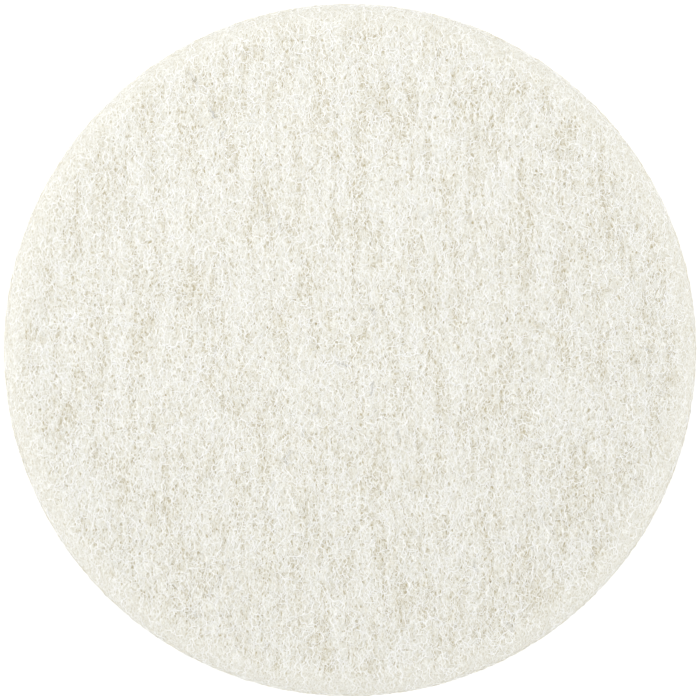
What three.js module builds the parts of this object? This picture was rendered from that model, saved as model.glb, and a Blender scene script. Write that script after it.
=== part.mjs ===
// Felt polishing disc with a loop back, in millimetres.
// It lies on its loops: the origin is the centre of the back at its lowest point, +Z points out
// of the working face, and the fibre of the felt runs mostly along Y.
import * as THREE from 'three';

// ---- Driving dimensions ----
const DISC_DIAMETER = 150;
const FACE_FELT_THICKNESS = 6.4;
const SHOULDER_RADIUS = 5;        // pressed edge between the working face and the cut side
const SCRIM_THICKNESS = 0.4;
const BACK_FELT_THICKNESS = 3.4;
const BACK_EDGE_RADIUS = 1.2;     // pressed edge between the cut side and the back
const BOND_FILM_THICKNESS = 0.2;
const BOND_SETBACK = 0.8;         // from the flat of the back to the edge of the film and loops
const LOOP_GROUND_THICKNESS = 0.5;
const LOOP_PILE_HEIGHT = 1.1;

// A fillet leaves at least this much straight wall beside it.
const LEAST_WALL = 0.4;

const TURN_SEGMENTS = 120;        // flats round the disc
const FILLET_STEPS = 10;          // flats across a quarter round

// ---- Sizes that follow from them ----
const discRadius = DISC_DIAMETER / 2;
const shoulderRadius = Math.min(SHOULDER_RADIUS, FACE_FELT_THICKNESS - LEAST_WALL);
const backEdgeRadius = Math.min(BACK_EDGE_RADIUS, BACK_FELT_THICKNESS - LEAST_WALL);
const backingRadius = discRadius - backEdgeRadius - BOND_SETBACK;

// ---- Materials ----
function soft(colour, roughness) {
  return new THREE.MeshStandardMaterial({ color: colour, roughness, metalness: 0 });
}

const whiteFelt = () => soft('#ebe9e0', 0.95);
const scrimCloth = () => soft('#e4e1d6', 0.9);
const hotMeltFilm = () => soft('#e9e4cf', 0.45);
const loopKnit = () => soft('#efeee9', 0.85);

// ---- Outlines, as points [radius, height] from the axis round to the axis ----

// A quarter round about a centre, from one angle to another.
function quarterRound(centreRadius, centreHeight, radius, fromAngle, toAngle) {
  const points = [];
  for (let step = 0; step <= FILLET_STEPS; step += 1) {
    const angle = fromAngle + ((toAngle - fromAngle) * step) / FILLET_STEPS;
    const x = centreRadius + radius * Math.cos(angle);
    const y = centreHeight + radius * Math.sin(angle);
    points.push([x, y]);
  }
  return points;
}

// A flat disc.
function plainOutline(radius, thickness) {
  return [[0, 0], [radius, 0], [radius, thickness], [0, thickness]];
}

// A disc whose upper edge is round.
function shoulderedOutline(radius, thickness, fillet) {
  const arc = quarterRound(radius - fillet, thickness - fillet, fillet, 0, Math.PI / 2);
  return [[0, 0], [radius, 0], ...arc, [0, thickness]];
}

// A disc whose lower edge is round.
function roundFootOutline(radius, thickness, fillet) {
  const arc = quarterRound(radius - fillet, fillet, fillet, -Math.PI / 2, 0);
  return [[0, 0], ...arc, [radius, thickness], [0, thickness]];
}

// ---- Assembly: the layers are stacked from the loops up ----
const disc = new THREE.Group();
let height = 0;

function addLayer(name, outline, material, thickness) {
  const points = outline.map(([x, y]) => new THREE.Vector2(x, y));
  const geometry = new THREE.LatheGeometry(points, TURN_SEGMENTS);
  geometry.rotateX(Math.PI / 2);
  const layer = new THREE.Mesh(geometry, material);
  layer.name = name;
  layer.position.z = height;
  disc.add(layer);
  height += thickness;
}

function addLoopPile() {
  const outline = plainOutline(backingRadius, LOOP_PILE_HEIGHT);
  addLayer('loop_pile', outline, loopKnit(), LOOP_PILE_HEIGHT);
}

function addLoopGround() {
  const outline = plainOutline(backingRadius, LOOP_GROUND_THICKNESS);
  addLayer('loop_ground', outline, loopKnit(), LOOP_GROUND_THICKNESS);
}

function addBondFilm() {
  const outline = plainOutline(backingRadius, BOND_FILM_THICKNESS);
  addLayer('bond_film', outline, hotMeltFilm(), BOND_FILM_THICKNESS);
}

function addBackFelt() {
  const outline = roundFootOutline(discRadius, BACK_FELT_THICKNESS, backEdgeRadius);
  addLayer('back_felt', outline, whiteFelt(), BACK_FELT_THICKNESS);
}

function addScrim() {
  const outline = plainOutline(discRadius, SCRIM_THICKNESS);
  addLayer('scrim', outline, scrimCloth(), SCRIM_THICKNESS);
}

function addFaceFelt() {
  const outline = shoulderedOutline(discRadius, FACE_FELT_THICKNESS, shoulderRadius);
  addLayer('face_felt', outline, whiteFelt(), FACE_FELT_THICKNESS);
}

addLoopPile();
addLoopGround();
addBondFilm();
addBackFelt();
addScrim();
addFaceFelt();

export default disc;
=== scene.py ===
import math

import bpy
import numpy as np
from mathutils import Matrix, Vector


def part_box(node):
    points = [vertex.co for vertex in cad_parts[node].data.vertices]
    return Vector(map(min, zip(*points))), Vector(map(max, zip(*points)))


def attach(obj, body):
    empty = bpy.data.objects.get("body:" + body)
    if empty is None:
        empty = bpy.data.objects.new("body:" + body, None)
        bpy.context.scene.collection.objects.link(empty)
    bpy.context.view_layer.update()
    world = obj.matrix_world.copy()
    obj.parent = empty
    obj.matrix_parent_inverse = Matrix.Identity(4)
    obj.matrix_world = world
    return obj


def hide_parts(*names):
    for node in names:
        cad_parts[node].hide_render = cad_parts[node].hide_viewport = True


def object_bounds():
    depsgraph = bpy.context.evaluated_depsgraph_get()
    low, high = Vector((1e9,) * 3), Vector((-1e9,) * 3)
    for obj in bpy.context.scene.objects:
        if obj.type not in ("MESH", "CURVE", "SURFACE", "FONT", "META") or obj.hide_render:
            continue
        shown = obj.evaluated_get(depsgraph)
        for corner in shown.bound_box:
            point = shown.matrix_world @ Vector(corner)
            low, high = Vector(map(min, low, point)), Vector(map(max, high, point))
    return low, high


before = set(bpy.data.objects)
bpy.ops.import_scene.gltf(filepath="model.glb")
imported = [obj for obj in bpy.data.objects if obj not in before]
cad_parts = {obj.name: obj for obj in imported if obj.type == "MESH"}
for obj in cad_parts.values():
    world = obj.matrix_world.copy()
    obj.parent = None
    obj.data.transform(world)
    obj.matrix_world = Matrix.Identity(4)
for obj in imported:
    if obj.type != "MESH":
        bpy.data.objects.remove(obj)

cad_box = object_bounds()
scene = bpy.context.scene

# ---- Camera ----
# It looks square down on the working face from far off, with a long lens, as a flat object is
# laid out for a catalogue. +Y is up in the frame, and the disc nearly fills it.
FRAME_FILL = 0.986                # the disc's share of the frame's width
LENS = 150.0                      # mm, on a 36 mm sensor

(low_x, _, low_z), (high_x, _, high_z) = cad_box
widest_height = 0.5 * (low_z + high_z)
camera = bpy.data.objects.new("camera", bpy.data.cameras.new("camera"))
camera.data.lens = LENS
frame_width = (high_x - low_x) / FRAME_FILL
camera.location = (0, 0, widest_height + frame_width * LENS / camera.data.sensor_width)
camera.data.clip_end = 10
scene.collection.objects.link(camera)
scene.camera = camera

# ---- Light table and lamps ----
# The disc lies on a white sheet that is lit from below, so the sheet is clear white and hardly
# shaded. The room is even and white. A soft lamp hangs near the top left of the disc, so the light
# falls off across the face, and two weak ones fill the sides.
scene.view_settings.view_transform = "Standard"


def linear(code):
    """An sRGB hex colour as linear red, green and blue, and full alpha."""
    parts = [int(code[k:k + 2], 16) / 255 for k in (1, 3, 5)]
    return tuple(p / 12.92 if p <= 0.04045 else ((p + 0.055) / 1.055) ** 2.4 for p in parts) + (1.0,)


def add(tree, kind, inputs=(), **settings):
    """Adds a node, with its settings, and with its inputs as values or as links from other nodes. The
    inputs are a list in the node's own order, or a table by name or number."""
    made = tree.nodes.new(kind)
    for name, value in settings.items():
        setattr(made, name, value)
    for key, value in inputs.items() if isinstance(inputs, dict) else enumerate(inputs):
        in_use = made.inputs if isinstance(key, int) else {s.name: s for s in made.inputs if s.enabled}
        if isinstance(value, bpy.types.Node):
            value = next(s for s in value.outputs if s.enabled)
        if isinstance(value, bpy.types.NodeSocket):
            tree.links.new(value, in_use[key])
        else:
            in_use[key].default_value = value
    return made


def new_material(name):
    """An empty node material, and its tree."""
    material = bpy.data.materials.new(name)
    material.use_nodes = True
    material.node_tree.nodes.clear()
    return material, material.node_tree


def finish_material(tree, inputs):
    """Ends a material in a Principled shader with these inputs."""
    shader = add(tree, "ShaderNodeBsdfPrincipled", inputs)
    add(tree, "ShaderNodeOutputMaterial", {"Surface": shader})


def table_paper():
    # White matt paper, lit from below: it reads as clear white all over.
    material, tree = new_material("backlit_matt_paper")
    finish_material(tree, {
        "Base Color": linear("#f4f4f4"),
        "Roughness": 0.9,
        "Specular IOR Level": 0.1,
        "Emission Color": linear("#ffffff"),
        "Emission Strength": 0.35,
    })
    return material


SHEET_SIZE = 6.0
SHEET_DROP = 0.0002               # just under the loops, so the two faces don't fight
half = SHEET_SIZE / 2
sheet_mesh = bpy.data.meshes.new("table_sheet")
corners = [(x * half, y * half, low_z - SHEET_DROP) for x, y in ((-1, -1), (1, -1), (1, 1), (-1, 1))]
sheet_mesh.from_pydata(corners, [], [(0, 1, 2, 3)])
sheet_mesh.materials.append(table_paper())
sheet = bpy.data.objects.new("table_sheet", sheet_mesh)
scene.collection.objects.link(sheet)

ROOM_LIGHT = 0.86
room = bpy.data.worlds.new("white_room")
room.use_nodes = True
background = room.node_tree.nodes["Background"].inputs
background["Color"].default_value = linear("#fffffe")
background["Strength"].default_value = ROOM_LIGHT
scene.world = room


def soft_lamp(name, place, size, power):
    """A square lamp at a place, aimed at the disc."""
    data = bpy.data.lights.new(name, "AREA")
    data.size = size
    data.energy = power
    lamp = bpy.data.objects.new(name, data)
    lamp.location = place
    lamp.rotation_euler = (-lamp.location).to_track_quat("-Z", "Y").to_euler()
    scene.collection.objects.link(lamp)


soft_lamp("soft_lamp_above_top", (-0.06, 0.13, 0.3), 0.12, 0.28)
soft_lamp("weak_lamp_on_the_left", (-0.9, -0.2, 0.3), 0.5, 1.4)
soft_lamp("weak_lamp_on_the_right", (0.9, -0.3, 0.3), 0.5, 1.6)

# ---- Face ply ----
# The working layer: white crimped polyester fibre, carded, laid in sheets and needle-punched
# into felt, then die-cut. The needles leave small pits in rows along the web, and the edge is
# pressed to a smooth round shoulder.
MM = 0.001
PLY_PITCH = 0.46 * MM             # between points of a ply's mesh where it shows
HIDDEN_PITCH = 6 * MM             # and where another layer covers it
SHOULDER = 5.0 * MM
PIT_DEPTH = 0.3 * MM
PIT_SPACING = 0.62 * MM           # between pits, across the web
STREAK_SPACING = 4.0 * MM         # between one thin place in the web and the next
PIT_OCTAVES = 4.0                 # halvings from the streaks down to the openings between fibres
STREAK_SHARE = 0.46               # how deep a streak goes, as a share of the pits' depth
PIT_SHARE = 0.6                   # and a pit
ALONG_WEB = 0.2                   # how much slower the streaks change along the web than across it
PIT_ALONG_WEB = 0.6               # and the pits
PITTED_SHARE = 0.90               # shares of the radius between which the pits fade out
PRESSED_SHARE = 0.98
WALL_RELIEF = 0.12 * MM           # of the cut wall, where the laid sheets of web show as low ridges
LAYER_SPACING = 0.9 * MM
BAKE_MAP = "OFBake"               # the map that finished colours go on
MAP_ISLANDS = {                   # (centre, radius) of the top with the side, and of the back
    "small": (((0.5, 0.5), 0.495), ((0.08, 0.08), 0.075)),
    "equal": (((0.25, 0.5), 0.245), ((0.75, 0.5), 0.245)),
}


def fillet(centre, height, radius, start, end, pitch):
    """Points of a quarter round, after its first, as (radius, height, pitch)."""
    steps = max(3, round(radius * abs(end - start) / pitch))
    turns = [start + (end - start) * k / steps for k in range(1, steps + 1)]
    return [(centre + radius * math.cos(t), height + radius * math.sin(t), pitch) for t in turns]


def layer_outline(box, upper, lower, pitch, top_pitch, back_pitch):
    """Half the section of a round layer as (radius, height, pitch), from the middle of its top over its
    edge to the middle of its back, and how many of the points come before the back."""
    (_, _, low), (radius, _, high) = box
    quarter = math.pi / 2
    rings = round((radius - upper) / top_pitch)
    points = [((radius - upper) * k / rings, high, top_pitch) for k in range(rings)]
    points.append((radius - upper, high, pitch))
    if upper:
        points += fillet(radius - upper, high - upper, upper, quarter, 0, pitch)
    wall = high - upper - low - lower
    steps = max(1, round(wall / pitch))
    points += [(radius, high - upper - wall * k / steps, pitch) for k in range(1, steps + 1)]
    if lower:
        points += fillet(radius - lower, low + lower, lower, 0, -quarter, pitch)
    edge = len(points)
    rings = round((radius - lower) / back_pitch)
    points += [((radius - lower) * k / rings, low, back_pitch) for k in range(rings - 1, -1, -1)]
    return points, edge


def turned_mesh(name, outline, edge, back_island):
    """A closed round solid from half its section, with as many points on each ring as its size needs.
    Its map holds the top and side, unrolled from the middle, as one disc, and the back as another."""
    places, rings, run = [], [], []
    for step, (radius, height, pitch) in enumerate(outline):
        count = max(6, round(math.tau * radius / pitch)) if radius > 0 else 1
        lead = step % 2 / 2
        angles = [math.tau * (k + lead) / count for k in range(count)]
        rings.append((len(places), count, lead))
        places += [(radius * math.cos(a), radius * math.sin(a), height) for a in angles]
        before = outline[max(step - 1, 0)]
        run.append((run[-1] if run else 0) + math.hypot(radius - before[0], height - before[1]))
    faces, face_ring = [], []
    for ring, ((first_a, count_a, lead_a), (first_b, count_b, lead_b)) in enumerate(zip(rings, rings[1:])):
        steps_a, steps_b = count_a * (count_a > 1), count_b * (count_b > 1)
        a = b = 0
        while a < steps_a or b < steps_b:
            here = (first_a + a % count_a, first_b + b % count_b)
            b_is_next = (b + 1 + lead_b) / count_b <= (a + 1 + lead_a) / count_a
            if a == steps_a or (b < steps_b and b_is_next):
                b += 1
                faces.append((*here, first_b + b % count_b))
            else:
                a += 1
                faces.append((*here, first_a + a % count_a))
            face_ring.append(ring)
    mesh = bpy.data.meshes.new(name)
    mesh.from_pydata(places, [], faces)

    point = np.array(places)
    ring_of = np.repeat(np.arange(len(rings)), [count for _, count, _ in rings])
    angle = np.arctan2(point[:, 1], point[:, 0])
    round_it = np.stack([np.cos(angle), np.sin(angle)], 1)
    unrolled = np.array(run)[ring_of] / run[edge - 1]
    flat = np.hypot(point[:, 0], point[:, 1]) / max(radius for radius, _, _ in outline)
    (main_at, main_radius), (back_at, back_radius) = MAP_ISLANDS[back_island]
    on_main = np.array(main_at) + main_radius * unrolled[:, None] * round_it
    on_back = np.array(back_at) + back_radius * flat[:, None] * round_it
    corner = np.array(faces).ravel()
    is_back = np.repeat(np.array(face_ring) >= edge - 1, 3)
    places_on_map = np.where(is_back[:, None], on_back[corner], on_main[corner])
    layer = mesh.uv_layers.new(name=BAKE_MAP)
    layer.uv.foreach_set("vector", places_on_map.astype(np.float32).ravel())
    return mesh


def new_tree(name, sizes):
    """A Geometry Nodes tree with an input for each size, and the node that gives them."""
    kinds = {float: "NodeSocketFloat", int: "NodeSocketInt", type(None): "NodeSocketMaterial"}
    tree = bpy.data.node_groups.new(name, "GeometryNodeTree")
    tree.interface.new_socket("Geometry", in_out="INPUT", socket_type="NodeSocketGeometry")
    tree.interface.new_socket("Geometry", in_out="OUTPUT", socket_type="NodeSocketGeometry")
    for size, value in sizes.items():
        item = tree.interface.new_socket(size, in_out="INPUT", socket_type=kinds[type(value)])
        if value is not None:
            item.default_value = value
    return tree, tree.nodes.new("NodeGroupInput").outputs


def end_tree(tree, geometry, material, smooth=True):
    """Ends a Geometry Nodes tree in a real mesh of one material."""
    real = add(tree, "GeometryNodeRealizeInstances", {"Geometry": geometry})
    smooth = add(tree, "GeometryNodeSetShadeSmooth", {"Geometry": real, "Shade Smooth": smooth})
    dressed = add(tree, "GeometryNodeSetMaterial", {"Geometry": smooth, "Material": material})
    add(tree, "NodeGroupOutput", {"Geometry": dressed})


def grow(name, tree, mesh, sizes):
    """Runs a tree on a mesh with these sizes, and gives the result as an object with a plain mesh."""
    piece = bpy.data.objects.new(name, mesh)
    scene.collection.objects.link(piece)
    modifier = piece.modifiers.new("grow", "NODES")
    modifier.node_group = tree
    for item in tree.interface.items_tree:
        if item.in_out == "INPUT" and item.name in sizes:
            modifier[item.identifier] = sizes[item.name]
    graph = bpy.context.evaluated_depsgraph_get()
    made = bpy.data.meshes.new_from_object(
        piece.evaluated_get(graph), preserve_all_data_layers=True, depsgraph=graph)
    piece.modifiers.clear()
    material = made.materials[-1]
    made.materials.clear()
    made.materials.append(material)
    made.name = name
    piece.data = made
    return piece


def in_plan(tree):
    """A point's coordinates, its place in plan, and its distance from the disc's axis."""
    parts = add(tree, "ShaderNodeSeparateXYZ", [add(tree, "GeometryNodeInputPosition")]).outputs
    flat = add(tree, "ShaderNodeCombineXYZ", [parts["X"], parts["Y"]])
    return parts, flat, add(tree, "ShaderNodeVectorMath", [flat], operation="LENGTH")


def needle_pits(tree, place):
    """How deep a place on the web lies, from 0 to about 1: pits along the web, and streaks where it is
    thin. The shape follows it, and the colour darkens with it as painted shade."""
    web = add(tree, "ShaderNodeVectorMath", [place, (1.0, ALONG_WEB, 1.0)], operation="MULTIPLY")
    level = add(tree, "ShaderNodeTexNoise", {
        "Vector": web, "Scale": 1 / STREAK_SPACING, "Detail": PIT_OCTAVES, "Roughness": 0.92,
    }, noise_dimensions="2D")
    streaks = add(tree, "ShaderNodeMapRange", [
        level, 0.56, 0.37, 0.0, STREAK_SHARE], interpolation_type="SMOOTHSTEP")
    web = add(tree, "ShaderNodeVectorMath", [place, (1.0, PIT_ALONG_WEB, 1.0)], operation="MULTIPLY")
    pits = add(tree, "ShaderNodeTexNoise", {
        "Vector": web, "Scale": 1 / PIT_SPACING, "Detail": 0.0}, noise_dimensions="2D")
    pits = add(tree, "ShaderNodeMapRange", [
        pits, 0.34, 0.18, 0.0, PIT_SHARE], interpolation_type="SMOOTHSTEP")
    return add(tree, "ShaderNodeMath", [streaks, pits], operation="ADD")


def needled_surface():
    """Sinks the top of a ply into needle pits that fade out towards its edge, gives its cut wall low
    ridges, and keeps each point's depth and how far the pits reach, from 0 to 1."""
    tree, given = new_tree("needled_surface", {
        "Pit depth": 0.0, "Pitted radius": 0.07, "Pressed radius": 0.073,
        "Wall relief": WALL_RELIEF, "Layer spacing": LAYER_SPACING, "Material": None,
    })
    position = add(tree, "GeometryNodeInputPosition")
    _, _, radius = in_plan(tree)
    normal = add(tree, "GeometryNodeInputNormal")
    upward = add(tree, "ShaderNodeSeparateXYZ", [normal]).outputs["Z"]
    inside = add(tree, "ShaderNodeMapRange", [
        radius, given["Pitted radius"], given["Pressed radius"], 1.0, 0.0,
    ], interpolation_type="SMOOTHSTEP")
    on_top = add(tree, "ShaderNodeMath", [upward, 0.3], operation="GREATER_THAN")
    reach = add(tree, "ShaderNodeMath", [inside, on_top], operation="MULTIPLY")
    depth = add(tree, "ShaderNodeMath", [needle_pits(tree, position), reach], operation="MULTIPLY")
    sink = add(tree, "ShaderNodeMath", [depth, given["Pit depth"]], operation="MULTIPLY")

    laid = add(tree, "ShaderNodeVectorMath", [position, (0.25, 0.25, 1.0)], operation="MULTIPLY")
    per_metre = add(tree, "ShaderNodeMath", [1.0, given["Layer spacing"]], operation="DIVIDE")
    ridges = add(tree, "ShaderNodeTexNoise", {"Vector": laid, "Scale": per_metre, "Detail": 2.0})
    ridges = add(tree, "ShaderNodeMath", [ridges, 0.35], operation="SUBTRACT")
    tilt = add(tree, "ShaderNodeMath", [upward], operation="ABSOLUTE")
    on_wall = add(tree, "ShaderNodeMapRange", [tilt, 0.7, 0.1, 0.0, 1.0], interpolation_type="SMOOTHSTEP")
    ridges = add(tree, "ShaderNodeMath", [ridges, on_wall], operation="MULTIPLY")
    drop = add(tree, "ShaderNodeMath", [ridges, given["Wall relief"], sink], operation="MULTIPLY_ADD")
    inward = add(tree, "ShaderNodeMath", [drop, -1.0], operation="MULTIPLY")

    kept = given["Geometry"]
    for name, value in (("depth", depth), ("reach", reach)):
        kept = add(tree, "GeometryNodeStoreNamedAttribute", {
            "Geometry": kept, "Name": name, "Value": value}, data_type="FLOAT", domain="POINT")
    sunk = add(tree, "GeometryNodeSetPosition", {
        "Geometry": kept,
        "Offset": add(tree, "ShaderNodeVectorMath", {0: normal, "Scale": inward}, operation="SCALE"),
    })
    end_tree(tree, sunk, given["Material"])
    return tree


def needled_polyester_felt():
    # White crimped polyester, carded and needle-punched: matt, with curly fibres lying mostly along
    # the web, clear white on top, with painted shade making it cream in pits, streaks and openings.
    fibre_curl = 0.55 * MM        # between one bend of a fibre and the next
    gap = 0.38 * MM               # the openings between fibres, drawn about twice as coarse as real
    material, tree = new_material("needle_punched_white_polyester_felt")
    place = add(tree, "ShaderNodeTexCoord").outputs["Object"]
    reach = add(tree, "ShaderNodeAttribute", attribute_name="reach").outputs["Fac"]
    # The ground is also made a little darker where the pits don't reach: on the shoulder and the cut wall.
    pressed = add(tree, "ShaderNodeMapRange", [reach, 0.0, 1.0, 0.1, 0.0])
    depth = add(tree, "ShaderNodeMath", [needle_pits(tree, place), reach, pressed], operation="MULTIPLY_ADD")

    strands = None
    for turn, shift in ((-0.35, 0.0), (0.1, 0.31), (0.5, 0.67)):
        web = add(tree, "ShaderNodeMapping", {
            "Vector": place, "Location": (shift, shift, 0.0), "Rotation": (0.0, 0.0, turn),
            "Scale": (1.0, 0.5, 1.0),
        })
        curl = add(tree, "ShaderNodeTexNoise", {
            "Vector": web, "Scale": 1 / fibre_curl, "Detail": 0.5, "Distortion": 0.4})
        off_line = add(tree, "ShaderNodeMath", [curl, 0.5], operation="SUBTRACT")
        off_line = add(tree, "ShaderNodeMath", [off_line], operation="ABSOLUTE")
        strand = add(tree, "ShaderNodeMapRange", [off_line, 0.045, 0.0], interpolation_type="SMOOTHSTEP")
        strands = add(tree, "ShaderNodeMath", [strands, strand], operation="MAXIMUM") if strands else strand

    web = add(tree, "ShaderNodeMapping", {"Vector": place, "Scale": (1.0, 0.5, 1.0)})
    # Painted shade in the openings between fibres: the ground is darker where this noise is low.
    shaded_gaps = add(tree, "ShaderNodeTexNoise", {"Vector": web, "Scale": 1 / gap, "Detail": 1.0})
    shaded_gaps = add(tree, "ShaderNodeMapRange", [shaded_gaps, 0.56, 0.36, 0.0, 1.0])
    shade = add(tree, "ShaderNodeMath", [shaded_gaps, 0.48, depth], operation="MULTIPLY_ADD")
    # Painted shade: the ground goes from grey-white to beige as the pits, streaks and openings deepen.
    ground = add(tree, "ShaderNodeValToRGB", {"Fac": shade})
    ground.color_ramp.elements[0].color = linear("#e4e3db")
    ground.color_ramp.elements[1].color = linear("#b8ad8e")
    ground.color_ramp.elements.new(0.5).color = linear("#d6d2c3")
    colour = add(tree, "ShaderNodeMix", {
        "Factor": add(tree, "ShaderNodeMath", [strands, 0.8], operation="MULTIPLY"),
        "A": ground, "B": linear("#fbfbf6"),
    }, data_type="RGBA")
    relief = add(tree, "ShaderNodeBump", {"Height": strands, "Strength": 0.5, "Distance": 0.12 * MM})
    finish_material(tree, {
        "Base Color": colour, "Normal": relief, "Roughness": 0.95, "Specular IOR Level": 0.25,
        "IOR": 1.57, "Sheen Weight": 0.15, "Sheen Roughness": 0.5,
    })
    return material


felt = needled_polyester_felt()
surface_tree = needled_surface()
face_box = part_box("face_felt")
disc_radius = face_box[1][0]
outline, edge = layer_outline(face_box, SHOULDER, 0.0, PLY_PITCH, PLY_PITCH, HIDDEN_PITCH)
face_ply = grow("face_ply", surface_tree, turned_mesh("face_ply", outline, edge, "small"), {
    "Pit depth": PIT_DEPTH, "Pitted radius": PITTED_SHARE * disc_radius,
    "Pressed radius": PRESSED_SHARE * disc_radius, "Material": felt,
})
face_ply.data.set_sharp_from_angle(angle=math.radians(75))
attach(face_ply, "root")
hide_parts("face_felt")

# ---- Fibre on the working face ----
# The crimped fibres that stand proud of the felt: hooks, curls and waves a few millimetres long,
# laid mostly along the web by the card, thinner over the pits, and pressed flat at the shoulder.
FIBRE_LENGTH = 2.8 * MM
FIBRE_THICKNESS = 0.21 * MM       # several fine fibres that cling together, drawn as one
FIBRE_CURL = 0.47 * MM            # how far a fibre's arc may stray from a straight line
FIBRE_LIFT = 0.36 * MM            # how high its middle may stand
FIBRE_SPACING = 0.76 * MM         # least distance between the middles of two fibres
FIBRE_SHAPES = 48
FIBRE_POINTS = 10                 # along each fibre
FIBRE_SPREAD = 1.4                # radians, the most that a fibre turns aside from the web
FIBRE_WHITENESS = 4.0             # the higher, the fewer fibres are cream
SHARE_OVER_PITS = 0.6             # how thickly fibre lies over the pits, against elsewhere
SHARE_WHERE_PRESSED = 0.3         # and where the felt was pressed
PRESSED_FLAT = 0.35               # how high it stands there
EDGE_START = 0.6                  # how far down the shoulder the fibre of the cut side starts
SECTORS = 6


def varied_copies(tree, given, line, points, ranges):
    """Copies a line once for each shape. Gives the copies, which copy a point is on, how far along it
    the point lies, and for each range a random value of its own."""
    line = add(tree, "GeometryNodeResampleCurve", {"Curve": line, "Count": points})
    copies = add(tree, "GeometryNodeDuplicateElements", {
        "Geometry": line, "Amount": given["Shapes"]}, domain="SPLINE")
    which = copies.outputs["Duplicate Index"]
    along = add(tree, "GeometryNodeSplineParameter").outputs["Factor"]
    values = [
        add(tree, "FunctionNodeRandomValue", {"Min": least, "Max": most, "ID": which, "Seed": seed})
        for seed, (least, most) in enumerate(ranges)]
    return copies, which, along, values


def tubes_along(tree, lines, which, along, section):
    """Makes a tube of each line by itself. A point keeps how far along and around its tube it lies."""
    marked = add(tree, "GeometryNodeStoreNamedAttribute", {
        "Geometry": lines, "Name": "along", "Value": along}, data_type="FLOAT", domain="POINT")
    apart = add(tree, "GeometryNodeSplitToInstances", {
        "Geometry": marked, "Group ID": which}, domain="CURVE")
    section = add(tree, "GeometryNodeStoreNamedAttribute", {
        "Geometry": section, "Name": "around",
        "Value": add(tree, "GeometryNodeSplineParameter").outputs["Factor"],
    }, data_type="FLOAT", domain="POINT")
    return add(tree, "GeometryNodeCurveToMesh", {
        "Curve": apart, "Profile Curve": section, "Fill Caps": True})


def turn_about_axis(tree, parts):
    """How far round the disc's axis a point lies, from 0 to 1."""
    turn = add(tree, "ShaderNodeMath", [parts["Y"], parts["X"]], operation="ARCTAN2")
    turn = add(tree, "ShaderNodeMath", [turn, math.tau], operation="DIVIDE")
    return add(tree, "ShaderNodeMath", [turn], operation="FRACT")


def lay_tubes(tree, given, points, tone, tubes, seed, smooth, **placing):
    """Lays a tube, picked at random, on each point, and ends the tree. The map is laid out by tone and
    by the place along the tube, which set the colour."""
    toned = add(tree, "GeometryNodeStoreNamedAttribute", {
        "Geometry": points, "Name": "tone", "Value": tone}, data_type="FLOAT", domain="POINT")
    last = add(tree, "ShaderNodeMath", [given["Shapes"], 1.0], operation="SUBTRACT")
    which = add(tree, "FunctionNodeRandomValue", {"Min": 0, "Max": last, "Seed": seed}, data_type="INT")
    laid = add(tree, "GeometryNodeInstanceOnPoints", {
        "Points": toned, "Instance": tubes, "Pick Instance": True, "Instance Index": which, **placing})
    real = add(tree, "GeometryNodeRealizeInstances", {"Geometry": laid})
    tone, around, along = (
        add(tree, "GeometryNodeInputNamedAttribute", {"Name": name}, data_type="FLOAT")
        for name in ("tone", "around", "along"))
    across = add(tree, "ShaderNodeMath", [around, 0.04, 0.02], operation="MULTIPLY_ADD")
    mapped = add(tree, "GeometryNodeStoreNamedAttribute", {
        "Geometry": real, "Name": BAKE_MAP,
        "Value": add(tree, "ShaderNodeCombineXYZ", [
            add(tree, "ShaderNodeMath", [tone, 0.9, across], operation="MULTIPLY_ADD"),
            add(tree, "ShaderNodeMath", [along, 0.96, 0.02], operation="MULTIPLY_ADD")]),
    }, data_type="FLOAT2", domain="CORNER")
    end_tree(tree, mapped, given["Material"], smooth)


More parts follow.
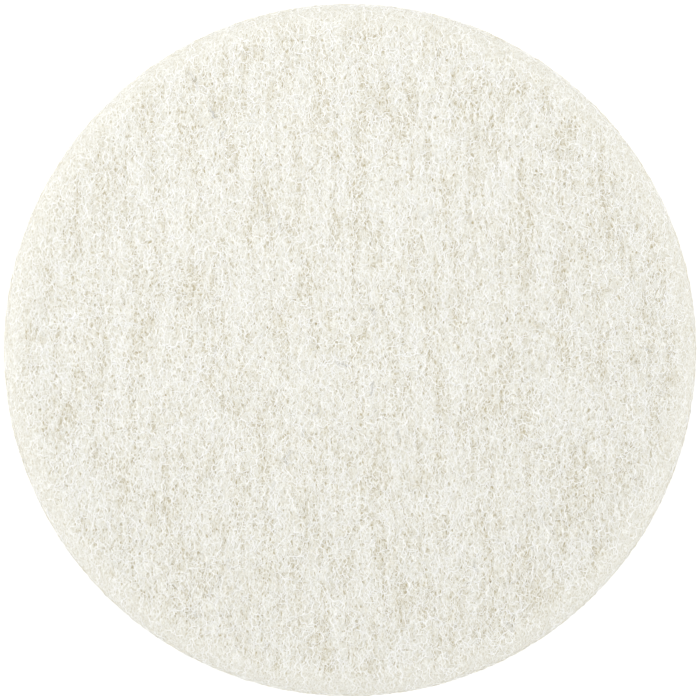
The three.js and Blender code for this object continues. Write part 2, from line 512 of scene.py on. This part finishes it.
def crimped_fibres():
    """Lays tubes of crimped fibre on a ply, in one sector between two turns about its axis."""
    tree, given = new_tree("crimped_fibres", {
        "Spacing": FIBRE_SPACING, "Share over pits": SHARE_OVER_PITS,
        "Share where pressed": SHARE_WHERE_PRESSED,
        "Pitted radius": 0.07, "Pressed radius": 0.073, "Floor": 0.0, "Ceiling": 1.0,
        "From turn": 0.0, "To turn": 1.0,
        "Length": FIBRE_LENGTH, "Thickness": FIBRE_THICKNESS, "Curl": FIBRE_CURL, "Lift": FIBRE_LIFT,
        "Sink": 0.05 * MM, "Spread": FIBRE_SPREAD, "Along edge": 0.0, "Pressed flat": PRESSED_FLAT,
        "Whiteness": FIBRE_WHITENESS, "Shapes": FIBRE_SHAPES, "Seed": 1, "Material": None,
    })
    # The shapes: straight lines bent by random arcs and waves.
    reach = add(tree, "ShaderNodeMath", [given["Length"], 0.5], operation="MULTIPLY")
    behind = add(tree, "ShaderNodeMath", [reach, -1.0], operation="MULTIPLY")
    line = add(tree, "GeometryNodeCurvePrimitiveLine", {
        "Start": add(tree, "ShaderNodeCombineXYZ", {"Y": behind}),
        "End": add(tree, "ShaderNodeCombineXYZ", {"Y": reach}),
    })
    copies, which, along, (arc, waves, phase, height) = varied_copies(
        tree, given, line, FIBRE_POINTS, ((-1.0, 1.0), (1.0, 2.4), (0.0, math.tau), (0.4, 1.0)))
    left = add(tree, "ShaderNodeMath", [1.0, along], operation="SUBTRACT")
    bow = add(tree, "ShaderNodeMath", [along, left], operation="MULTIPLY")
    bow = add(tree, "ShaderNodeMath", [bow, 4.0], operation="MULTIPLY")
    bowed = add(tree, "ShaderNodeMath", [bow, arc], operation="MULTIPLY")
    turns = add(tree, "ShaderNodeMath", [along, math.tau], operation="MULTIPLY")
    turns = add(tree, "ShaderNodeMath", [turns, waves, phase], operation="MULTIPLY_ADD")
    wave = add(tree, "ShaderNodeMath", [turns], operation="SINE")
    sideways = add(tree, "ShaderNodeMath", [wave, 0.5, bowed], operation="MULTIPLY_ADD")
    sideways = add(tree, "ShaderNodeMath", [sideways, given["Curl"]], operation="MULTIPLY")
    shorter = add(tree, "ShaderNodeMath", [0.5, along], operation="SUBTRACT")
    shorter = add(tree, "ShaderNodeMath", [
        shorter, add(tree, "ShaderNodeMath", [arc], operation="ABSOLUTE")], operation="MULTIPLY")
    shorter = add(tree, "ShaderNodeMath", [shorter, given["Curl"]], operation="MULTIPLY")
    rise = add(tree, "ShaderNodeMath", [bow, height], operation="MULTIPLY")
    rise = add(tree, "ShaderNodeMath", [rise, given["Lift"]], operation="MULTIPLY")
    rise = add(tree, "ShaderNodeMath", [rise, given["Sink"]], operation="SUBTRACT")
    bent = add(tree, "GeometryNodeSetPosition", {
        "Geometry": copies, "Offset": add(tree, "ShaderNodeCombineXYZ", [sideways, shorter, rise])})
    bent = add(tree, "GeometryNodeSetCurveNormal", {"Curve": bent}, mode="Z_UP")
    ring = add(tree, "GeometryNodeCurvePrimitiveCircle", {
        "Resolution": 3,
        "Radius": add(tree, "ShaderNodeMath", [given["Thickness"], 0.5], operation="MULTIPLY")})
    ring = add(tree, "GeometryNodeTransform", {
        "Geometry": ring, "Rotation": (0.0, 0.0, math.pi / 2), "Scale": (1.0, 0.6, 1.0)})
    tubes = tubes_along(tree, bent, which, along, ring)

    # Where they lie, and how thickly.
    parts, _, radius = in_plan(tree)
    turn = turn_about_axis(tree, parts)
    chosen = add(tree, "ShaderNodeMath", [parts["Z"], given["Floor"]], operation="GREATER_THAN")
    for value, bound, way in (
            (parts["Z"], "Ceiling", "LESS_THAN"), (turn, "From turn", "GREATER_THAN"),
            (turn, "To turn", "LESS_THAN")):
        within = add(tree, "ShaderNodeMath", [value, given[bound]], operation=way)
        chosen = add(tree, "ShaderNodeMath", [chosen, within], operation="MULTIPLY")
    depth = add(tree, "GeometryNodeInputNamedAttribute", {"Name": "depth"}, data_type="FLOAT")
    over_pits = add(tree, "ShaderNodeMapRange", [depth, 0.0, 1.0, 1.0, given["Share over pits"]])
    outward = add(tree, "ShaderNodeMapRange", [
        radius, given["Pitted radius"], given["Pressed radius"], 0.0, 1.0], interpolation_type="SMOOTHSTEP")
    share = add(tree, "ShaderNodeMapRange", [outward, 0.0, 1.0, 1.0, given["Share where pressed"]])
    share = add(tree, "ShaderNodeMath", [share, over_pits], operation="MULTIPLY")
    square = add(tree, "ShaderNodeMath", [given["Spacing"], given["Spacing"]], operation="MULTIPLY")
    points = add(tree, "GeometryNodeDistributePointsOnFaces", {
        "Mesh": given["Geometry"], "Selection": chosen, "Distance Min": given["Spacing"],
        "Density Max": add(tree, "ShaderNodeMath", [4.0, square], operation="DIVIDE"),
        "Density Factor": share, "Seed": given["Seed"],
    }, distribute_method="POISSON")
    # Tone: cream at random, plus painted shade that makes fibres over the pits creamier (the depth term).
    tone = add(tree, "FunctionNodeRandomValue", {"Min": 0.0, "Max": 1.0, "Seed": 11})
    tone = add(tree, "ShaderNodeMath", [tone, given["Whiteness"]], operation="POWER")
    tone = add(tree, "ShaderNodeMath", [tone, 0.8], operation="MULTIPLY")
    tone = add(tree, "ShaderNodeMath", [depth, 0.2, tone], operation="MULTIPLY_ADD")

    # How they turn: out of the surface, then along the web or the edge, then a little at random.
    edgeways = add(tree, "ShaderNodeCombineXYZ", [
        add(tree, "ShaderNodeMath", [parts["Y"], -1.0], operation="MULTIPLY"), parts["X"]])
    heading = add(tree, "ShaderNodeMix", {
        "Factor": given["Along edge"], "A": (0.0, 1.0, 0.0),
        "B": add(tree, "ShaderNodeVectorMath", [edgeways], operation="NORMALIZE"),
    }, data_type="VECTOR")
    upright = add(tree, "FunctionNodeAlignRotationToVector", {
        "Vector": points.outputs["Normal"]}, axis="Z")
    headed = add(tree, "FunctionNodeAlignRotationToVector", {
        "Rotation": upright, "Vector": heading}, axis="Y", pivot_axis="Z")
    swing = add(tree, "FunctionNodeRandomValue", {"Min": -1.0, "Max": 1.0, "Seed": 12})
    wider = add(tree, "ShaderNodeMath", [swing], operation="ABSOLUTE")
    wider = add(tree, "ShaderNodeMath", [wider, given["Spread"]], operation="MULTIPLY")
    swing = add(tree, "ShaderNodeMath", [swing, wider], operation="MULTIPLY")
    nod = add(tree, "FunctionNodeRandomValue", {"Min": -0.12, "Max": 0.12, "Seed": 13})
    turned = add(tree, "FunctionNodeRotateRotation", {
        "Rotation": headed,
        "Rotate By": add(tree, "FunctionNodeEulerToRotation", [
            add(tree, "ShaderNodeCombineXYZ", [nod, 0.0, swing])]),
    }, rotation_space="LOCAL")
    size = add(tree, "FunctionNodeRandomValue", {"Min": 0.7, "Max": 1.25, "Seed": 15})
    flatter = add(tree, "ShaderNodeMapRange", [outward, 0.0, 1.0, 1.0, given["Pressed flat"]])
    lay_tubes(tree, given, points, tone, tubes, 14, False, Rotation=turned, Scale=add(
        tree, "ShaderNodeCombineXYZ", [
            size, size, add(tree, "ShaderNodeMath", [size, flatter], operation="MULTIPLY")]))
    return tree


def tone_and_middle(tree):
    """A tube's tone, and how far a point of it lies from its middle."""
    tone = add(tree, "ShaderNodeAttribute", attribute_name="tone").outputs["Fac"]
    along = add(tree, "ShaderNodeAttribute", attribute_name="along").outputs["Fac"]
    from_middle = add(tree, "ShaderNodeMath", [along, 0.5], operation="SUBTRACT")
    return tone, add(tree, "ShaderNodeMath", [from_middle], operation="ABSOLUTE")


def crimped_polyester_fibre():
    # Drawn polyester filament, crimped: semi-matt, drawn opaque though the real fibre is a little
    # translucent. It is clear white on top; painted shade makes it creamy towards its ends, where it
    # dives into the felt, and over the pits.
    material, tree = new_material("crimped_white_polyester_fibre")
    tone, from_middle = tone_and_middle(tree)
    # Painted shade: the ends, where a fibre dives into the felt, are made creamier.
    buried_end_shade = add(tree, "ShaderNodeMapRange", [from_middle, 0.3, 0.5, 0.0, 0.15])
    ramp = add(tree, "ShaderNodeValToRGB", {
        "Fac": add(tree, "ShaderNodeMath", [tone, buried_end_shade], operation="ADD")})
    ramp.color_ramp.elements[0].color = linear("#ffffff")
    ramp.color_ramp.elements[1].color = linear("#e5e0cf")
    ramp.color_ramp.elements.new(0.35).color = linear("#f9f9f6")
    finish_material(tree, {
        "Base Color": ramp, "Roughness": 0.7, "Specular IOR Level": 0.3, "IOR": 1.57,
    })
    return material


fibre = crimped_polyester_fibre()
fibre_tree = crimped_fibres()
fibre_sizes = {
    "Spacing": FIBRE_SPACING, "Pitted radius": PITTED_SHARE * disc_radius,
    "Pressed radius": PRESSED_SHARE * disc_radius, "Material": fibre,
}
edge_top = face_box[1][2] - EDGE_START * SHOULDER
for sector in range(SECTORS):
    tuft = grow(f"face_fibre_{sector + 1}", fibre_tree, face_ply.data, {
        **fibre_sizes, "Floor": edge_top,
        "From turn": sector / SECTORS, "To turn": (sector + 1) / SECTORS,
    })
    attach(tuft, "root")

# ---- Fibre on the cut side of the face ply ----
# A die cuts through the mat, and the pressed edge binds it. The cut fibre lies in the plane of the
# layers, so on the side it runs round the disc and stands out very little.
EDGE_FIBRE_SPACING = 0.86 * MM
EDGE_LIFT = 0.16 * MM
EDGE_SPREAD = 0.5
EDGE_WHITENESS = 0.8
BARE_STRIP = 0.2 * MM             # beside the next layer
OVERLAP = 1 * MM                  # with the fibre of the working face
edge_sizes = {
    **fibre_sizes, "Spacing": EDGE_FIBRE_SPACING, "Share where pressed": 1.0,
    "Along edge": 1.0, "Lift": EDGE_LIFT, "Pressed flat": 1.0, "Spread": EDGE_SPREAD,
    "Whiteness": EDGE_WHITENESS, "Seed": 2,
}
face_edge_fibre = grow("face_edge_fibre", fibre_tree, face_ply.data, {
    **edge_sizes, "Floor": face_box[0][2] + BARE_STRIP, "Ceiling": edge_top + OVERLAP,
})
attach(face_edge_fibre, "root")

# ---- Specks ----
# A few crumbs of plant matter that came in with the fibre and are caught among it on the working
# face. They are less than half a millimetre long, brown and dull.
SPECK_SIZE = 0.3 * MM
SPECKS_PER_CM2 = 0.04
SPECK_DEPTH = 0.6 * MM            # the felt under a crumb lies no deeper than this


def needled_in_specks():
    """Puts a few small crumbs among the fibres on the flat of a ply."""
    tree, given = new_tree("needled_in_specks", {
        "Per square metre": SPECKS_PER_CM2 * 10000, "Floor": 0.0, "Size": SPECK_SIZE, "Seed": 5,
        "Material": None})
    height = add(tree, "ShaderNodeSeparateXYZ", [add(tree, "GeometryNodeInputPosition")]).outputs["Z"]
    on_top = add(tree, "ShaderNodeMath", [height, given["Floor"]], operation="GREATER_THAN")
    points = add(tree, "GeometryNodeDistributePointsOnFaces", {
        "Mesh": given["Geometry"], "Selection": on_top, "Density": given["Per square metre"],
        "Seed": given["Seed"]})
    lifted = add(tree, "GeometryNodeSetPosition", {
        "Geometry": points, "Offset": add(tree, "ShaderNodeCombineXYZ", {"Z": given["Size"]})})
    crumb = add(tree, "GeometryNodeMeshIcoSphere", {
        "Radius": add(tree, "ShaderNodeMath", [given["Size"], 0.5], operation="MULTIPLY"),
        "Subdivisions": 2})
    least, most = (0.5, 0.7, 0.4), (1.0, 1.6, 0.7)
    size = add(tree, "FunctionNodeRandomValue", {
        "Min": least, "Max": most, "Seed": 6}, data_type="FLOAT_VECTOR")
    turn = add(tree, "FunctionNodeRandomValue", {"Min": -math.pi, "Max": math.pi, "Seed": 7})
    crumbs = add(tree, "GeometryNodeInstanceOnPoints", {
        "Points": lifted, "Instance": crumb, "Scale": size,
        "Rotation": add(tree, "FunctionNodeEulerToRotation", [
            add(tree, "ShaderNodeCombineXYZ", {"Z": turn})]),
    })
    end_tree(tree, crumbs, given["Material"])
    return tree


def brown_plant_crumb():
    # Dry seed husk and leaf: dull brown, seen as a few dark dots on the white.
    material, tree = new_material("dry_plant_crumb")
    finish_material(tree, {
        "Base Color": linear("#8f7f60"), "Roughness": 0.85, "Specular IOR Level": 0.3, "IOR": 1.5})
    return material


specks = grow("specks", needled_in_specks(), face_ply.data, {
    "Floor": face_box[1][2] - SPECK_DEPTH, "Material": brown_plant_crumb()})
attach(specks, "root")

# ---- Scrim ----
# An open plain-woven cloth of undyed polyester yarn, needled between the two plies so that the
# disc doesn't stretch as it spins. Only the cut ends of its yarns show, round the edge.
YARN_SPACING = 1.6 * MM           # a common scrim has 16 yarns to the inch
YARN_WIDTH = 0.42 * MM
YARN_END = 0.9 * MM               # how long each cut end is
SCRIM_PITCH = 2.2 * MM
SCRIM_INSET = 0.35 * MM           # the cloth shrinks back a little from the cut


def woven_scrim():
    """Adds the cut yarn ends, all round, to a thin round cloth."""
    tree, given = new_tree("woven_scrim", {
        "Radius": 0.075, "Height": 0.0, "Spacing": YARN_SPACING, "Yarn width": YARN_WIDTH,
        "End length": YARN_END, "Seed": 3, "Material": None,
    })
    about = add(tree, "ShaderNodeMath", [math.tau, given["Radius"]], operation="MULTIPLY")
    count = add(tree, "ShaderNodeMath", [about, given["Spacing"]], operation="DIVIDE")
    ring = add(tree, "GeometryNodeCurvePrimitiveCircle", {"Resolution": 720, "Radius": given["Radius"]})
    places = add(tree, "GeometryNodeCurveToPoints", {"Curve": ring, "Count": count}, mode="COUNT")
    raised = add(tree, "GeometryNodeSetPosition", {
        "Geometry": places, "Offset": add(tree, "ShaderNodeCombineXYZ", {"Z": given["Height"]})})
    yarn = add(tree, "GeometryNodeMeshCylinder", {
        "Vertices": 6, "Side Segments": 2, "Fill Segments": 1,
        "Radius": add(tree, "ShaderNodeMath", [given["Yarn width"], 0.5], operation="MULTIPLY"),
        "Depth": given["End length"],
    })
    yarn = add(tree, "GeometryNodeStoreNamedAttribute", {
        "Geometry": yarn, "Name": BAKE_MAP, "Value": yarn.outputs["UV Map"],
    }, data_type="FLOAT2", domain="CORNER")
    flat_yarn = add(tree, "GeometryNodeTransform", {"Geometry": yarn, "Scale": (1.0, 0.7, 1.0)})
    parts = add(tree, "ShaderNodeSeparateXYZ", [add(tree, "GeometryNodeInputPosition")]).outputs
    outward = add(tree, "ShaderNodeCombineXYZ", [parts["X"], parts["Y"]])
    turned = add(tree, "FunctionNodeAlignRotationToVector", {"Vector": outward}, axis="Z")
    least, most = (-0.35, -0.12, -1.5), (0.35, 0.12, 1.5)
    askew = add(tree, "FunctionNodeRandomValue", {
        "Min": least, "Max": most, "Seed": given["Seed"]}, data_type="FLOAT_VECTOR")
    turned = add(tree, "FunctionNodeRotateRotation", {
        "Rotation": turned, "Rotate By": add(tree, "FunctionNodeEulerToRotation", [askew]),
    }, rotation_space="LOCAL")
    size = add(tree, "FunctionNodeRandomValue", {"Min": 0.7, "Max": 1.1, "Seed": 4})
    ends = add(tree, "GeometryNodeInstanceOnPoints", {
        "Points": raised, "Instance": flat_yarn, "Rotation": turned, "Scale": size})
    both = add(tree, "GeometryNodeJoinGeometry")
    tree.links.new(ends.outputs[0], both.inputs[0])
    tree.links.new(given["Geometry"], both.inputs[0])
    end_tree(tree, both, given["Material"])
    return tree


def undyed_woven_polyester():
    # Undyed spun polyester in an open plain weave: dull and a little greyer than the felt, with painted
    # shade darkening the holes, where the felt's fibre passes through.
    material, tree = new_material("undyed_plain_woven_polyester")
    place = add(tree, "ShaderNodeTexCoord").outputs["Object"]
    yarns = []
    for axis in "XY":
        yarns.append(add(tree, "ShaderNodeTexWave", {
            "Vector": place, "Scale": math.tau / 20 / YARN_SPACING, "Distortion": 0.6, "Detail": 1.0,
            "Detail Scale": 1.0,
        }, bands_direction=axis).outputs["Fac"])
    weave = add(tree, "ShaderNodeMath", yarns, operation="MAXIMUM")
    # Painted shade: darker where the yarns leave holes.
    ramp = add(tree, "ShaderNodeValToRGB", {"Fac": weave})
    ramp.color_ramp.elements[0].color = linear("#c9c3b0")
    ramp.color_ramp.elements[1].color = linear("#e9e6da")
    ramp.color_ramp.elements.new(0.5).color = linear("#dcd8ca")
    relief = add(tree, "ShaderNodeBump", {"Height": weave, "Strength": 0.6, "Distance": 0.2 * MM})
    finish_material(tree, {
        "Base Color": ramp, "Normal": relief, "Roughness": 0.9, "Specular IOR Level": 0.3, "IOR": 1.57,
    })
    return material


scrim_low, (scrim_x, scrim_y, scrim_top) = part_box("scrim")
inner_box = (scrim_low, (scrim_x - SCRIM_INSET, scrim_y - SCRIM_INSET, scrim_top))
outline, edge = layer_outline(inner_box, 0.0, 0.0, SCRIM_PITCH, SCRIM_PITCH, SCRIM_PITCH)
scrim_cloth = grow("scrim_cloth", woven_scrim(), turned_mesh("scrim_cloth", outline, edge, "equal"), {
    "Radius": disc_radius - SCRIM_INSET, "Height": 0.5 * (scrim_low[2] + scrim_top),
    "Material": undyed_woven_polyester(),
})
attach(scrim_cloth, "root")
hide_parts("scrim")

# ---- Back ply ----
# The same needled felt, half as thick, on the other side of the scrim. It holds the loop cloth
# off the machine's hooks, and its lower edge is pressed to a small round.
BACK_EDGE = 1.2 * MM
back_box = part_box("back_felt")
outline, edge = layer_outline(back_box, 0.0, BACK_EDGE, PLY_PITCH, HIDDEN_PITCH, HIDDEN_PITCH)
back_ply = grow("back_ply", surface_tree, turned_mesh("back_ply", outline, edge, "small"), {
    "Pit depth": 0.0, "Material": felt,
})
back_ply.data.set_sharp_from_angle(angle=math.radians(75))
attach(back_ply, "root")
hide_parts("back_felt")

back_edge_fibre = grow("back_edge_fibre", fibre_tree, back_ply.data, {
    **edge_sizes, "Floor": back_box[0][2] + BARE_STRIP, "Ceiling": back_box[1][2] - BARE_STRIP,
    "Seed": 3,
})
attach(back_edge_fibre, "root")

# ---- Bond film ----
# A web of hot-melt glue, laid between the back ply and the loop cloth and melted by a hot press.
# It has flowed a little, so its edge wanders.
FILM_PITCH = 1.6 * MM
FILM_WANDER = 0.45 * MM
FILM_FLOW = 7 * MM                # between one bulge of its edge and the next


def flowed_film():
    """Lets the edge of a thin round film wander in and out."""
    tree, given = new_tree("flowed_film", {
        "Radius": 0.073, "Wander": FILM_WANDER, "Flow": FILM_FLOW, "Material": None})
    _, flat, radius = in_plan(tree)
    near = add(tree, "ShaderNodeMath", [given["Radius"], given["Flow"]], operation="SUBTRACT")
    at_edge = add(tree, "ShaderNodeMapRange", [
        radius, near, given["Radius"], 0.0, 1.0], interpolation_type="SMOOTHSTEP")
    per_metre = add(tree, "ShaderNodeMath", [1.0, given["Flow"]], operation="DIVIDE")
    flow = add(tree, "ShaderNodeTexNoise", {
        "Vector": flat, "Scale": per_metre, "Detail": 2.0}, noise_dimensions="2D")
    flow = add(tree, "ShaderNodeMath", [flow, 0.5], operation="SUBTRACT")
    flow = add(tree, "ShaderNodeMath", [flow, given["Wander"]], operation="MULTIPLY")
    flow = add(tree, "ShaderNodeMath", [flow, at_edge], operation="MULTIPLY")
    outward = add(tree, "ShaderNodeVectorMath", [flat], operation="NORMALIZE")
    moved = add(tree, "GeometryNodeSetPosition", {
        "Geometry": given["Geometry"],
        "Offset": add(tree, "ShaderNodeVectorMath", {0: outward, "Scale": flow}, operation="SCALE"),
    })
    end_tree(tree, moved, given["Material"], smooth=False)
    return tree


def melted_copolyamide_film():
    # Hot-melt copolyamide, pressed and cooled: waxy and honey-tinted, with a soft shine and paler
    # where it is thin.
    thin_patch = 4 * MM
    material, tree = new_material("melted_copolyamide_film")
    place = add(tree, "ShaderNodeTexCoord").outputs["Object"]
    patches = add(tree, "ShaderNodeTexNoise", {"Vector": place, "Scale": 1 / thin_patch, "Detail": 3.0})
    ramp = add(tree, "ShaderNodeValToRGB", {"Fac": patches})
    ramp.color_ramp.elements[0].position = 0.3
    ramp.color_ramp.elements[0].color = linear("#dccf9f")
    ramp.color_ramp.elements[1].position = 0.7
    ramp.color_ramp.elements[1].color = linear("#efe8cf")
    gloss = add(tree, "ShaderNodeMapRange", [patches, 0.3, 0.7, 0.32, 0.5])
    finish_material(tree, {
        "Base Color": ramp, "Roughness": gloss, "Specular IOR Level": 0.5, "IOR": 1.5,
        "Subsurface Weight": 0.1, "Subsurface Scale": 0.2 * MM,
    })
    return material


film_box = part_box("bond_film")
film_radius = film_box[1][0]
outline, edge = layer_outline(film_box, 0.0, 0.0, FILM_PITCH, FILM_PITCH * 2, FILM_PITCH * 2)
glue_film = grow("glue_film", flowed_film(), turned_mesh("glue_film", outline, edge, "equal"), {
    "Radius": film_radius, "Material": melted_copolyamide_film(),
})
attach(glue_film, "root")
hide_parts("bond_film")

# ---- Loop cloth ----
# A warp-knitted polyester cloth whose ground is glued to the back. Its loops stand down from the
# ground, are brushed so that they lean every way, and catch on the machine's hook pad.
WALE_SPACING = 1.1 * MM           # between columns of stitches, drawn a little coarser than real
COURSE_SPACING = 0.8 * MM         # between rows of stitches
RIB_SPACING = 4 * WALE_SPACING
RIB_HEIGHT = 0.06 * MM
GROUND_PITCH = 1.6 * MM
LOOPS_PER_MM2 = 0.37              # about a quarter of the real number, and each about twice as big
LOOP_WIDTH = 1.15 * MM
LOOP_YARN = 0.24 * MM             # a bundle of filaments, drawn as one
LOOP_POINTS = 9                   # along each loop
LOOP_SHAPES = 24
LOOP_SECTORS = 2


def knitted_ground():
    """Gives the face of a thin round cloth low ribs along its columns of stitches."""
    tree, given = new_tree("knitted_ground", {
        "Rib spacing": RIB_SPACING, "Rib height": RIB_HEIGHT, "Material": None})
    parts = add(tree, "ShaderNodeSeparateXYZ", [add(tree, "GeometryNodeInputPosition")]).outputs
    turns = add(tree, "ShaderNodeMath", [parts["X"], given["Rib spacing"]], operation="DIVIDE")
    turns = add(tree, "ShaderNodeMath", [turns, math.tau], operation="MULTIPLY")
    ribs = add(tree, "ShaderNodeMath", [turns], operation="SINE")
    ribs = add(tree, "ShaderNodeMath", [ribs, given["Rib height"]], operation="MULTIPLY")
    inward = add(tree, "ShaderNodeVectorMath", {
        0: add(tree, "GeometryNodeInputNormal"), "Scale": ribs}, operation="SCALE")
    ribbed = add(tree, "GeometryNodeSetPosition", {"Geometry": given["Geometry"], "Offset": inward})
    end_tree(tree, ribbed, given["Material"], smooth=False)
    return tree


def warp_knitted_polyester():
    # White warp-knitted polyester: columns of small slanting stitches, a little shiny on each
    # stitch, with painted shade making it grey between them.
    material, tree = new_material("white_warp_knitted_polyester")
    place = add(tree, "ShaderNodeTexCoord").outputs["Object"]
    wales, courses = (
        add(tree, "ShaderNodeTexWave", {
            "Vector": place, "Scale": math.tau / 20 / spacing, "Distortion": 0.8, "Detail": 1.0,
        }, bands_direction=axis).outputs["Fac"]
        for axis, spacing in (("X", WALE_SPACING), ("Y", COURSE_SPACING)))
    stitch = add(tree, "ShaderNodeMath", [wales, courses], operation="MULTIPLY")
    # Painted shade: grey between the stitches, lighter on them.
    ramp = add(tree, "ShaderNodeValToRGB", {"Fac": stitch})
    ramp.color_ramp.elements[0].color = linear("#b8b6ac")
    ramp.color_ramp.elements[1].color = linear("#dddbd4")
    ramp.color_ramp.elements.new(0.4).color = linear("#cdcbc2")
    relief = add(tree, "ShaderNodeBump", {"Height": stitch, "Strength": 0.7, "Distance": 0.2 * MM})
    finish_material(tree, {
        "Base Color": ramp, "Normal": relief, "Roughness": 0.75, "Specular IOR Level": 0.4, "IOR": 1.57,
        "Sheen Weight": 0.1,
    })
    return material


def raised_loops():
    """Hangs loops of yarn from the face of the loop cloth, between two turns about its axis."""
    tree, given = new_tree("raised_loops", {
        "Per square metre": LOOPS_PER_MM2 / MM**2, "Height": 0.0011, "Width": LOOP_WIDTH, "Yarn": LOOP_YARN,
        "From turn": 0.0, "To turn": 1.0, "Ceiling": 0.0, "Edge": 0.073,
        "Shapes": LOOP_SHAPES, "Seed": 5, "Material": None,
    })
    copies, which, along, (wide, tall, slant, skew) = varied_copies(
        tree, given, add(tree, "GeometryNodeCurvePrimitiveLine"), LOOP_POINTS,
        ((0.6, 1.1), (0.72, 0.97), (-0.6, 0.6), (-0.5, 0.5)))
    # From one foot, round through the lowest point, to the other foot.
    start, sweep = math.radians(125), math.radians(290)
    turn = add(tree, "ShaderNodeMath", [along, sweep, start], operation="MULTIPLY_ADD")
    aside = add(tree, "ShaderNodeMath", [turn], operation="COSINE")
    aside = add(tree, "ShaderNodeMath", [aside, 0.5], operation="MULTIPLY")
    aside = add(tree, "ShaderNodeMath", [aside, wide], operation="MULTIPLY")
    aside = add(tree, "ShaderNodeMath", [aside, given["Width"]], operation="MULTIPLY")
    up = add(tree, "ShaderNodeMath", [turn], operation="SINE")
    up = add(tree, "ShaderNodeMath", [up, 0.62, -0.30], operation="MULTIPLY_ADD")
    up = add(tree, "ShaderNodeMath", [up, tall], operation="MULTIPLY")
    up = add(tree, "ShaderNodeMath", [up, given["Height"]], operation="MULTIPLY")
    twist = add(tree, "ShaderNodeMath", [along, 0.5], operation="SUBTRACT")
    twist = add(tree, "ShaderNodeMath", [twist, skew], operation="MULTIPLY")
    twist = add(tree, "ShaderNodeMath", [twist, given["Width"]], operation="MULTIPLY")
    over = add(tree, "ShaderNodeMath", [up, slant, twist], operation="MULTIPLY_ADD")
    bent = add(tree, "GeometryNodeSetPosition", {
        "Geometry": copies, "Position": add(tree, "ShaderNodeCombineXYZ", [aside, over, up])})
    ring = add(tree, "GeometryNodeCurvePrimitiveCircle", {
        "Resolution": 3, "Radius": add(tree, "ShaderNodeMath", [given["Yarn"], 0.5], operation="MULTIPLY")})
    yarns = tubes_along(tree, bent, which, along, ring)

    parts, _, radius = in_plan(tree)
    about = turn_about_axis(tree, parts)
    before = add(tree, "ShaderNodeMath", [about, given["From turn"]], operation="LESS_THAN")
    chosen = add(tree, "ShaderNodeMath", [1.0, before], operation="SUBTRACT")
    for value, most in ((about, given["To turn"]), (parts["Z"], given["Ceiling"]), (radius, given["Edge"])):
        below = add(tree, "ShaderNodeMath", [value, most], operation="LESS_THAN")
        chosen = add(tree, "ShaderNodeMath", [chosen, below], operation="MULTIPLY")
    points = add(tree, "GeometryNodeDistributePointsOnFaces", {
        "Mesh": given["Geometry"], "Selection": chosen, "Density": given["Per square metre"],
        "Seed": given["Seed"]})
    tone = add(tree, "FunctionNodeRandomValue", {"Min": 0.0, "Max": 1.0, "Seed": 21})
    swing = add(tree, "FunctionNodeRandomValue", {"Min": 0.0, "Max": math.tau, "Seed": 22})
    lay_tubes(tree, given, points, tone, yarns, 23, True, Rotation=add(
        tree, "FunctionNodeEulerToRotation", [add(tree, "ShaderNodeCombineXYZ", {"Z": swing})]))
    return tree


def filament_polyester_loop():
    # Fine continuous polyester filament: whiter and shinier than the felt's fibre, with painted shade
    # making it greyer where a loop goes into the ground.
    material, tree = new_material("white_filament_polyester_loop")
    tone, from_tip = tone_and_middle(tree)
    # Painted shade towards the feet of each loop, plus a random tone of its own.
    shade = add(tree, "ShaderNodeMath", [tone, 0.4, from_tip], operation="MULTIPLY_ADD")
    ramp = add(tree, "ShaderNodeValToRGB", {"Fac": shade})
    ramp.color_ramp.elements[0].color = linear("#ffffff")
    ramp.color_ramp.elements[1].color = linear("#e6e5df")
    finish_material(tree, {
        "Base Color": ramp, "Roughness": 0.55, "Specular IOR Level": 0.5, "IOR": 1.57,
    })
    return material


ground_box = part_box("loop_ground")
outline, edge = layer_outline(ground_box, 0.0, 0.0, GROUND_PITCH, GROUND_PITCH * 3, GROUND_PITCH)
loop_ground_cloth = grow(
    "loop_ground_cloth", knitted_ground(), turned_mesh("loop_ground_cloth", outline, edge, "equal"),
    {"Material": warp_knitted_polyester()})
ground_radius = ground_box[1][0]
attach(loop_ground_cloth, "root")
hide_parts("loop_ground")

pile_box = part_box("loop_pile")
loop_tree = raised_loops()
loop_yarn = filament_polyester_loop()
for sector in range(LOOP_SECTORS):
    loops = grow(f"pile_loops_{sector + 1}", loop_tree, loop_ground_cloth.data, {
        "Height": pile_box[1][2] - pile_box[0][2] - 0.5 * LOOP_YARN,
        "From turn": sector / LOOP_SECTORS, "To turn": (sector + 1) / LOOP_SECTORS,
        "Ceiling": pile_box[1][2] + 0.1 * MM, "Edge": ground_radius - 0.5 * LOOP_WIDTH,
        "Material": loop_yarn,
    })
    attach(loops, "root")
    if sector == 0:
        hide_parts("loop_pile")
